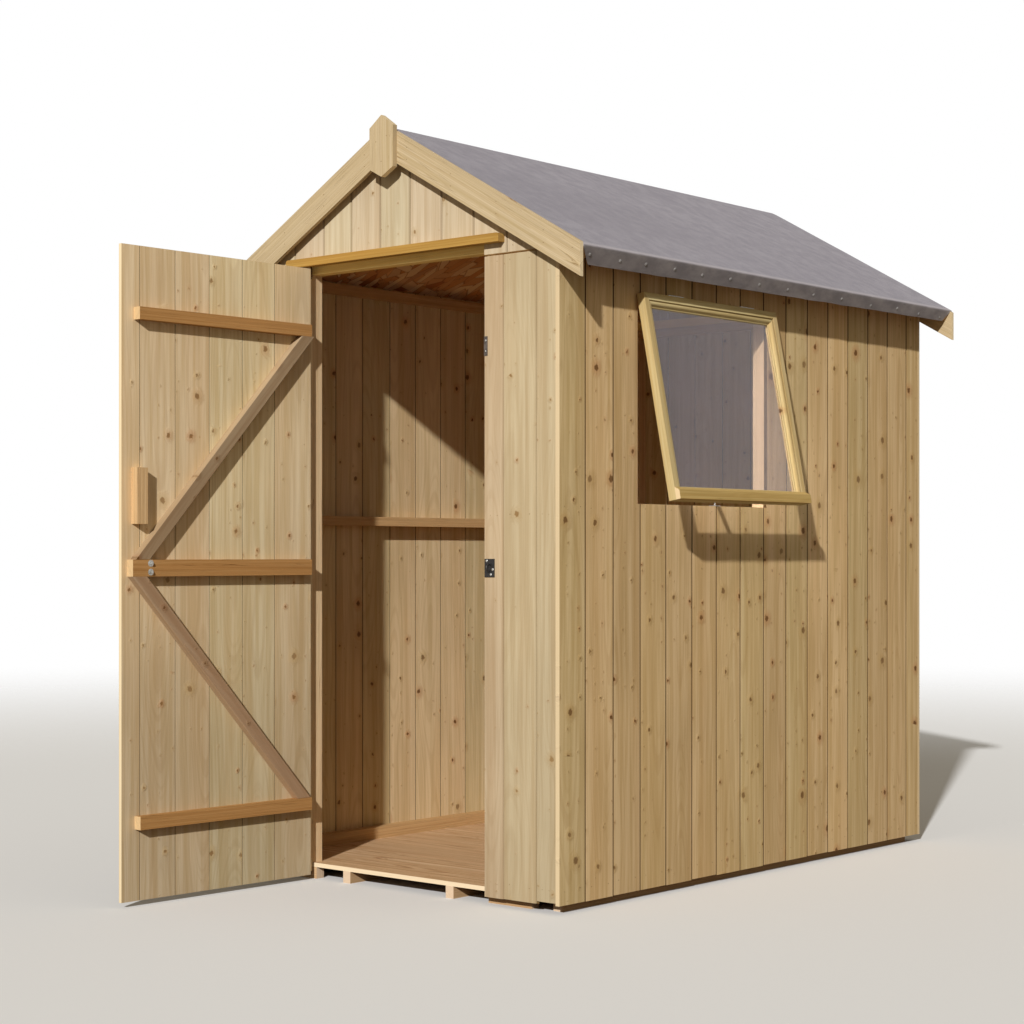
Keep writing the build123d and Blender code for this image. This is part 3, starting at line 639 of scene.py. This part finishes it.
def build_side_walls():
    """The right wall's boards, round its window, and the left wall's."""
    right, left = Pile(), Pile()
    for span in spans(SIDE_EDGES):
        a, b = span[:2]
        low = BOTTOM + draw.uniform(0, 2)
        if b <= WINDOW_START or a >= WINDOW_END:
            add_board(right, on_right, span, whole(low, side_top), SIDE_JOINT)
        elif a >= WINDOW_START and b <= WINDOW_END:
            add_board(right, on_right, span, whole(low, SILL), SIDE_JOINT)
            add_board(right, on_right, span, whole(WINDOW_TOP, side_top), SIDE_JOINT)
        else:
            keep = (-FAR, WINDOW_START) if a < WINDOW_START else (WINDOW_END, FAR)
            levels = whole(low, SILL) + [(SILL, *keep), (WINDOW_TOP, *keep)] + whole(WINDOW_TOP, side_top)
            add_board(right, on_right, span, levels, SIDE_JOINT)
        add_board(left, on_left, span, whole(low, side_top), SIDE_JOINT)
    right.make("right_wall_boards", cladding, "shed", "right_wall")
    left.make("left_wall_boards", pale_cladding, "shed", "left_wall")


def build_front_panels():
    """The boards right and left of the doorway. Their edges are freshly cut at the doorway alone."""
    corner_lift = 7
    for name, edges, node in (("front_right_boards", RIGHT_PANEL_EDGES, "front_right_wall"),
                              ("front_left_boards", LEFT_PANEL_EDGES, "front_left_wall")):
        pile = Pile()
        for span in spans(edges):
            a, b = span[:2]
            low = BOTTOM + (corner_lift if b > CORNER_EDGE else draw.uniform(-1, 1))
            fresh = 0.0 if max(abs(a), abs(b)) > CORNER_EDGE else 1.0
            add_board(pile, on_front, span, whole(low, PANEL_TOP), FRONT_JOINT, fresh)
        pile.make(name, front_cladding, "shed", node)


def gable_foot(a, b):
    """Where a front gable board ends below: on the panels, or higher over the doorway."""
    if a < -HALF_DOORWAY < b:
        keep = (-FAR, -HALF_DOORWAY)
    elif a < HALF_DOORWAY < b:
        keep = (HALF_DOORWAY, FAR)
    else:
        return whole(NOTCH_TOP if -HALF_DOORWAY < a and b < HALF_DOORWAY else GABLE_LOW)
    return [(GABLE_LOW, *keep), (NOTCH_TOP, *keep), (NOTCH_TOP, *FREE)]


def build_front_gable():
    """The boards over the doorway and the front panels."""
    gable = Pile()
    for span in spans(GABLE_EDGES):
        levels = gable_foot(*span[:2]) + whole(gable_top)
        add_board(gable, on_front, span, levels, GABLE_JOINT, peak=ridge_in(span))
    gable.make("front_gable_boards", gable_cladding, "shed", "front_gable")


def build_back():
    """The back wall's boards and the back gable's."""
    wall, gable = Pile(), Pile()
    for span in spans(BACK_EDGES):
        add_board(wall, on_back, span, whole(BOTTOM, PANEL_TOP), SIDE_JOINT)
        add_board(gable, on_back, span, whole(GABLE_LOW, gable_top), SIDE_JOINT, peak=ridge_in(span))
    wall.make("back_wall_boards", cladding, "shed", "back_wall")
    gable.make("back_gable_boards", pale_cladding, "shed", "back_gable")


def build_door_boards():
    """The door's boards."""
    door = Pile(DOOR)
    for span in spans(DOOR_EDGES):
        add_board(door, on_door, span, whole(DOOR_FOOT, DOOR_HEAD), DOOR_JOINT)
    door.make("door_board_set", door_cladding, "door", "door_boards")


def build_braces():
    """The door's two slanting braces, cut level at both ends."""
    pile = Pile(DOOR)
    for low, high, low_x, high_x in BRACES:
        run = (high_x - low_x) / (high - low)
        length = math.hypot(1, run)
        half = BRACE_WIDTH / 2 * length
        corners = [(low_x - half, low), (low_x + half, low), (high_x + half, high), (high_x - half, high)]
        points = [(x, y, z) for y in (DOOR_BACK, DOOR_BACK + LEDGE_THICKNESS) for x, z in corners]
        faces = [[0, 1, 2, 3], [7, 6, 5, 4], [0, 4, 5, 1], [1, 5, 6, 2], [2, 6, 7, 3], [3, 7, 4, 0]]
        grain = [((x - low_x - run * (z - low)) / length, y, ((x - low_x) * run + (z - low)) / length)
                 for x, y, z in points]
        pile.add(points, faces, grain, own_picks(), [0, 0, 0.5, 0.2, 0.5, 0.2])
    bevel(pile.make("door_brace_pair", brace_wood, "door", "door_braces"), 1.2)


# Window

def swept(pile, profile, shade):
    """The sash's mitred frame, from a profile of (inwards, out from the back) and how dark its sides are."""
    corners = ((SASH_START, SASH_LOW, 1, 1), (SASH_END, SASH_LOW, -1, 1),
               (SASH_END, SASH_HIGH, -1, -1), (SASH_START, SASH_HIGH, 1, -1))
    loops = [[(SASH_BACK + out, y + to_y * inward, z + to_z * inward) for inward, out in profile]
             for y, z, to_y, to_z in corners]
    count = len(profile)
    faces = [[i, (i + 1) % count, count + (i + 1) % count, count + i] for i in range(count)]
    faces += [list(range(count))[::-1], [count + i for i in range(count)]]
    mitre_gap = 0.1
    steps = ((mitre_gap, 0), (0, mitre_gap), (-mitre_gap, 0), (0, -mitre_gap))
    for side, (step_y, step_z) in enumerate(steps):
        points = [(x, y + step_y, z + step_z) for x, y, z in loops[side]]
        points += [(x, y - step_y, z - step_z) for x, y, z in loops[(side + 1) % 4]]
        lengthwise = 1 + side % 2
        grain = [(inward, out, point[lengthwise]) for (inward, out), point in zip(profile * 2, points)]
        pile.add(points, faces, grain, own_picks(), shade + [0.0, 0.0])


def build_sash():
    """The window's frame: flat outside band, sunk quirk, ovolo down to the pane and a rebate behind it."""
    inner_edge, rebate, pane_back, pane_front = 38, 29, 6, 10
    quirk = [(20, SASH_THICK), (20.7, 20.8), (23.3, 20.8), (24, 22)]
    turns = [math.radians(degrees) for degrees in range(15, 91, 15)]
    ovolo = [(24 + 9 * math.sin(turn), 22 - 8 * (1 - math.cos(turn))) for turn in turns]
    inside = [(inner_edge, 12.5), (inner_edge, pane_front), (rebate, pane_front), (rebate, pane_back),
              (inner_edge, pane_back), (inner_edge, 0)]
    profile = [(0, 0), (0, SASH_THICK)] + quirk + ovolo + inside
    # Painted shade on the three faces of the sunk quirk.
    shade = [0.0, 0.0, -0.5, -0.9, -0.5] + [0.0] * (len(profile) - 5)
    pile = Pile(SASH)
    swept(pile, profile, shade)
    bevel(pile.make("window_sash_frame", sash_wood, "shed", "window_sash", smooth=40), 0.8)


# Roof felt

def felt_drop(y):
    """How far the felt hangs down the eaves: cut away at both corners, and less at the back."""
    if y < DROP_START:
        return CORNER_DROP + (FRONT_DROP - CORNER_DROP) * (y - FELT_START) / (DROP_START - FELT_START)
    if y < DROP_END:
        return FRONT_DROP - (FRONT_DROP - BACK_DROP) * (y - DROP_START) / (DROP_END - DROP_START)
    return max(CORNER_DROP, BACK_DROP - (BACK_DROP - CORNER_DROP) * (y - DROP_END) / BACK_CUT)


def waved(point, away, share, across, y):
    """A point of the felt, lifted off the roof by its share of the broad and the small waves."""
    broad = noise.noise(Vector((across * 0.005, y * 0.0018, 3)))
    small = noise.noise(Vector((across * 0.014, y * 0.006, 9)))
    return point + away * share * FELT_WAVE * max(0.0, broad + 0.3 * small)


def felt_section(y, side, inset):
    """One side of the felt's outline at a place along the shed, from the ridge to the foot of its drop."""
    bend, ridge, steps, bend_steps, hang_steps = FELT_FOLD - inset, 14.0, 26, 5, 4
    edge, lift, low = FELT_RUN - inset, FELT_LIFT - inset, felt_drop(y) - inset
    normal = Vector((math.sin(PITCH), math.cos(PITCH)))
    outward = Vector((math.cos(PITCH), -math.sin(PITCH)))

    def at(run, height):
        return Vector((0, APEX)) + outward * run + normal * height

    rows = [(Vector((0, APEX + lift / math.cos(PITCH) - 1.7)), Vector((0, 1)), 0.3),
            (at(ridge, lift - 0.25), normal, 0.4)]
    for step in range(1, steps + 1):
        place = at(ridge + (edge - bend - ridge) * step / steps, lift)
        rows.append((place, normal, 1.0 if step < steps else 0.2))
    for step in range(1, bend_steps + 1):
        turn = math.radians(90 * step / bend_steps)
        away = normal * math.cos(turn) + outward * math.sin(turn)
        rows.append((at(edge - bend, lift - bend) + away * bend, away, 0.2))
    outline = []
    for point, away, share in rows:
        point = waved(point, away, share, side * point.x if point.x else 0, y)
        outline.append((side * point.x, y, point.y))
    hang = max(0.3, low - bend)
    for step in range(1, hang_steps + 1):
        share = step / hang_steps
        curl = 1.3 + 0.9 * noise.noise(Vector((y * 0.02, side * 7, 5)))
        foot = 1.5 * noise.noise(Vector((y * 0.011, side * 4, 2))) if hang > 20 else 0
        point = at(edge + share * curl, lift - bend - hang * share + foot * share)
        outline.append((side * point.x, y, point.y))
    return outline


def build_felt():
    """One sheet over the ridge and both eaves, a little uneven, folded down square to the roof."""
    steps = 118
    places = [FELT_START, -14, -6, 2, 10, 18, DROP_START]
    places += [DROP_START + (DROP_END - DROP_START) * step / steps for step in range(1, steps + 1)]
    places += [1824, 1830, 1836, DROP_END + BACK_CUT, FELT_END]
    points, faces = [], []
    for y in places:
        right, left = felt_section(y, 1, 0), felt_section(y, -1, 0)
        right_inner, left_inner = felt_section(y, 1, FELT_THICK), felt_section(y, -1, FELT_THICK)
        points += left[:0:-1] + right + right_inner[:0:-1] + left_inner
    count = len(points) // len(places)
    for index in range(len(places) - 1):
        near, far = index * count, (index + 1) * count
        for i in range(count):
            j = (i + 1) % count
            faces.append([near + i, near + j, far + j, far + i])
    for base in (0, (len(places) - 1) * count):
        flat = [[Vector((points[base + i][0], points[base + i][2], 0)) for i in range(count)]]
        faces += [[base + i for i in triangle] for triangle in tessellate_polygon(flat)]
    pile = Pile()
    pile.add(points, faces)
    pile.make("roof_felt_sheet", felt, "shed", "roof_felt", smooth=50)


# Nails, screws and nuts

def axes_on(normal):
    """A surface's normal and two directions along it."""
    normal = Vector(normal).normalized()
    aside = normal.orthogonal().normalized()
    return normal, aside, normal.cross(aside)


def dome(pile, centre, normal, radius, height, sides=12, rings=3):
    """A low round head standing on a surface."""
    normal, aside, up = axes_on(normal)
    centre = Vector(centre)
    spokes = [aside * math.cos(a) + up * math.sin(a) for a in [2 * math.pi * i / sides for i in range(sides)]]
    points = [centre - normal * 0.3 + spoke * radius for spoke in spokes]
    for ring in range(rings):
        turn = math.pi / 2 * ring / rings
        lift = normal * (height * (0.35 + 0.65 * math.sin(turn)))
        points += [centre + lift + spoke * radius * math.cos(turn) for spoke in spokes]
    points.append(centre + normal * height)
    faces = [list(range(sides))[::-1]]
    for ring in range(rings):
        for i in range(sides):
            j = (i + 1) % sides
            faces.append([ring * sides + i, ring * sides + j, (ring + 1) * sides + j, (ring + 1) * sides + i])
    last = rings * sides
    top = last + sides
    faces += [[last + i, last + (i + 1) % sides, top] for i in range(sides)]
    pile.add([tuple(point) for point in points], faces)


def nut(pile, centre, normal, radius, height, turn):
    """A hexagon nut with a washer under it and the bolt's end in it."""
    normal, aside, up = axes_on(normal)
    centre = Vector(centre)
    for size, sides, low, high in ((radius * 1.7, 20, 0.0, 1.0), (radius, 6, 1.0, height),
                                   (radius * 0.5, 16, height, height + 1.5)):
        turns = [turn + 2 * math.pi * i / sides for i in range(sides)]
        ring = [(aside * math.cos(a) + up * math.sin(a)) * size for a in turns]
        points = [centre + normal * level + place for level in (low, high) for place in ring]
        faces = [list(range(sides))[::-1], list(range(sides, 2 * sides))]
        faces += [[i, (i + 1) % sides, sides + (i + 1) % sides, sides + i] for i in range(sides)]
        pile.add([tuple(point) for point in points], faces)


def nail(pile, centre, normal, radius=1.3):
    """One nail's head."""
    dome(pile, centre, normal, radius, 0.3, 8, 1)


def nail_rows(pile, turn, normal, edges, heights):
    """Two nails a board where the boards cross each rail."""
    for height in heights:
        for a, b, _, _ in spans(edges):
            inset = min(22, (b - a) / 3)
            for u in (a + inset, b - inset):
                spot = Vector(turn(u + draw.uniform(-2, 2), 0, height + draw.uniform(-2.5, 2.5)))
                nail(pile, spot + 0.6 * CUPPING * Vector(normal), normal)


def build_wall_nails():
    """Nail heads on the walls, the bargeboards and the finials."""
    pile = Pile()
    nail_rows(pile, on_right, RIGHT, SIDE_EDGES, (60, 1040, 1700))
    nail_rows(pile, on_left, LEFT, SIDE_EDGES, (60, 1021, 1700))
    nail_rows(pile, on_front, FRONT, RIGHT_PANEL_EDGES, (60, 1021, 1686))
    nail_rows(pile, on_front, FRONT, LEFT_PANEL_EDGES, (60, 1021, 1686))
    nail_rows(pile, on_front, FRONT, [-505, -402], (1724,))
    nail_rows(pile, on_front, FRONT, [409, 525], (1724,))
    nail_rows(pile, on_back, BACK, BACK_EDGES, (60, 1021, 1686, 1724))
    # Each end's boards and finial: the place of their face and their height at the ridge
    barge_ends = ((-32, FRONT, 2088.3), (LENGTH + 32, BACK, 2080.9))
    finial_ends = ((-48, FRONT, 2111.3), (LENGTH + 48, BACK, 2080.9))
    to_middle = 44
    for side in (-1, 1):
        for y, normal, ridge in barge_ends:
            for x in (80, 240, 400, 560, 655):
                for lift in (-16, 16):
                    nail(pile, (side * x, y, ridge - x * SLOPE - to_middle + lift), normal, 1.4)
    for y, normal, top in finial_ends:
        for x, drop_shade_and_smudge in ((-20, 71), (20, 59), (0, 126)):
            nail(pile, (x, y, top - drop_shade_and_smudge), normal, 1.4)
    pile.make("wall_nails", nail_head, "shed", smooth=60)


def build_door_nails():
    """Nail heads on the door's face, along its ledges."""
    pile = Pile(DOOR)
    nail_rows(pile, on_door, FRONT, DOOR_EDGES, LEDGE_HEIGHTS)
    pile.make("door_nails", nail_head, "door", smooth=60)


def build_clouts():
    """Felt clouts along both drops."""
    pile = Pile()
    spots = [11, 142, 250, 373, 505, 636, 777, 919, 1058, 1207, 1376, 1524, 1664, 1792]
    height, proud = -14, 0.9
    for side in (1, -1):
        normal = (side * math.cos(PITCH), 0, -math.sin(PITCH))
        shift = Vector(normal) * proud
        for y in spots:
            level = height + draw.uniform(-3, 3)
            x = FELT_RUN * math.cos(PITCH) + level * math.sin(PITCH)
            z = APEX - FELT_RUN * math.sin(PITCH) + level * math.cos(PITCH)
            spot = (side * x + shift.x, y + draw.uniform(-4, 4), z + shift.z)
            dome(pile, spot, normal, 4.6, 1.3, 14, 2)
    pile.make("felt_clouts", clout_zinc, "shed", smooth=60)


def build_black_screws():
    """Screws in the hinge plates and straps, and the heads of the hasp's bolts."""
    plate_face, strap_face = -2.5, -7.5
    plate_spots = [(x, lift) for x in (-347, -365) for lift in (-36, -12, 12, 36)]
    strap_spots = [(-312, -8), (-312, 8)] + [(x, 0) for x in (-262, -205, -150, -95, -45)]
    wall, door = Pile(), Pile(DOOR)
    for z in LEDGE_HEIGHTS:
        for x, lift in plate_spots:
            dome(wall, (x, plate_face, z + lift), FRONT, 3.4, 1.5)
        for x, lift in strap_spots:
            dome(door, (x, strap_face, z + lift), FRONT, 3.4, 1.5)
    for z in HASP_BOLTS:
        dome(door, (HASP_X, strap_face, z), FRONT, 6.5, 3.0, 16, 4)
    wall.make("hinge_plate_screws", black_iron, "shed", smooth=60)
    door.make("hinge_strap_screws", black_iron, "door", smooth=60)


def build_bright_screws():
    """Screws in the staple, the keeper plate and the window's hinges."""
    staple_face, keeper_face, hinge_face = -2.5, -1.5, HALF + 1.6
    pile = Pile()
    for x, z in ((341.7, 902), (362.5, 879.6), (356, 866)):
        dome(pile, (x, staple_face, z), FRONT, 3.6, 1.6, 16, 4)
    for z in (1452, 1480):
        dome(pile, (337.5, keeper_face, z), FRONT, 2.4, 0.9)
    for y in (466, 805):
        for step in (-24, 0, 24):
            dome(pile, (hinge_face, y + step, 1616.5), RIGHT, 2.0, 0.8)
    pile.make("bright_screws", zinc, "shed", smooth=60)


def build_hasp_nuts():
    """The nuts of the hasp's bolts, inside the door."""
    pile = Pile(DOOR)
    for z in HASP_BOLTS:
        nut(pile, (HASP_X, DOOR_BACK + LEDGE_THICKNESS, z), BACK, 5.2, 5.5, draw.uniform(0, 1))
    pile.make("hasp_nuts", zinc, "door", smooth=30)


def dress_nodes():
    """Materials and softened edges for the pieces kept from the CAD."""
    plain = {
        "floor_bearers": bearer_wood, "floor_noggins": noggin_wood, "floor_deck": deck_sheet,
        "end_wall_posts": post_wood, "side_wall_posts": post_wood, "end_wall_rails": framing["X"],
        "side_wall_rails": framing["Y"], "gable_headers": header_wood, "left_rafters": framing["Left"],
        "right_rafters": framing["Right"], "drip_batten": golden, "left_roof_board": osb,
        "right_roof_board": osb, "eave_battens": framing["Y"], "left_verge_battens": framing["Left"],
        "right_verge_battens": framing["Right"], "front_left_bargeboard": trim["Left"],
        "front_right_bargeboard": trim["Right"], "back_left_bargeboard": trim["Left"],
        "back_right_bargeboard": trim["Right"], "front_finial": trim["Z"], "back_finial": trim["Z"],
        "window_weather_rail": rail_wood, "window_glass": pane, "window_hinges": dull_zinc,
        "window_stay": zinc, "staple": black_iron, "keeper_plate": dull_steel,
        "door_hinge_plates": black_iron, "door_ledges": ledge_wood, "door_lock_block": lock_wood,
        "door_hinge_straps": black_iron, "door_hasp": black_iron,
    }
    thin = {"window_glass": 0.3, "window_hinges": 0.3, "keeper_plate": 0.3, "staple": 0.4, "window_stay": 0.4,
            "door_hinge_plates": 0.4, "door_hinge_straps": 0.4, "door_hasp": 0.4}
    for name, material in plain.items():
        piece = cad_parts[name]
        piece.data.materials.clear()
        piece.data.materials.append(material)
        bevel(piece, thin.get(name, 1.2))


# Studio

def build_floor():
    """A pale floor that fades into the white round it."""
    reach = 14
    mesh = bpy.data.meshes.new("studio_floor")
    corners = [(-reach, -reach, 0), (reach, -reach, 0), (reach, reach, 0), (-reach, reach, 0)]
    mesh.from_pydata(corners, [], [[0, 1, 2, 3]])
    floor = bpy.data.objects.new("studio_floor", mesh)
    bpy.context.scene.collection.objects.link(floor)
    shader = new_shader("StudioFloor")
    far = shader.vector("LENGTH", shader.place(), output="Value")
    tone = shader.mix(shader.seen(), (0.17, 0.13, 0.1, 1), (0.84, 0.85, 0.87, 1))
    plain = shader.add("BsdfDiffuse", {"Color": tone})
    clear = shader.add("BsdfTransparent", {})
    mesh.materials.append(shader.close(shader.blend(shader.ramp(far, 3.0, 12.0), plain, clear)))


def build_world():
    """Soft light from all round, which the camera sees as white."""
    shader = Shader(bpy.data.worlds.new("Studio"), "OutputWorld")
    soft = shader.add("Background", {0: (1.0, 0.885, 0.7, 1), 1: 0.28})
    white = shader.add("Background", {0: (1, 1, 1, 1), 1: 1.0})
    bpy.context.scene.world = shader.close(shader.blend(shader.seen(), soft, white))


def build_sun():
    """A low sun from the front right."""
    sun = bpy.data.lights.new("Key", "SUN")
    sun.energy = 3.6
    sun.angle = math.radians(1.5)
    sun.color = (1.0, 0.985, 0.95)
    lamp = bpy.data.objects.new("Key", sun)
    bpy.context.scene.collection.objects.link(lamp)
    lamp.rotation_euler = Vector((0.387, -0.812, 0.437)).to_track_quat("Z", "Y").to_euler()


def build_camera():
    """The photograph's own view."""
    data = bpy.data.cameras.new("Camera")
    data.sensor_width = 36
    data.lens = 72.54
    data.shift_x = -0.0013
    data.shift_y = 0.042
    camera = bpy.data.objects.new("Camera", data)
    bpy.context.scene.collection.objects.link(camera)
    camera.location = (3.9033, -4.6532, 0.9175)
    camera.rotation_euler = (math.radians(90), 0, math.radians(40.77))
    bpy.context.scene.camera = camera
    bpy.context.scene.view_settings.view_transform = "Standard"


build_side_walls()
build_front_panels()
build_front_gable()
build_back()
build_door_boards()
build_braces()
build_sash()
build_felt()
build_wall_nails()
build_door_nails()
build_clouts()
build_black_screws()
build_bright_screws()
build_hasp_nuts()
dress_nodes()
build_floor()
build_world()
build_sun()
build_camera()
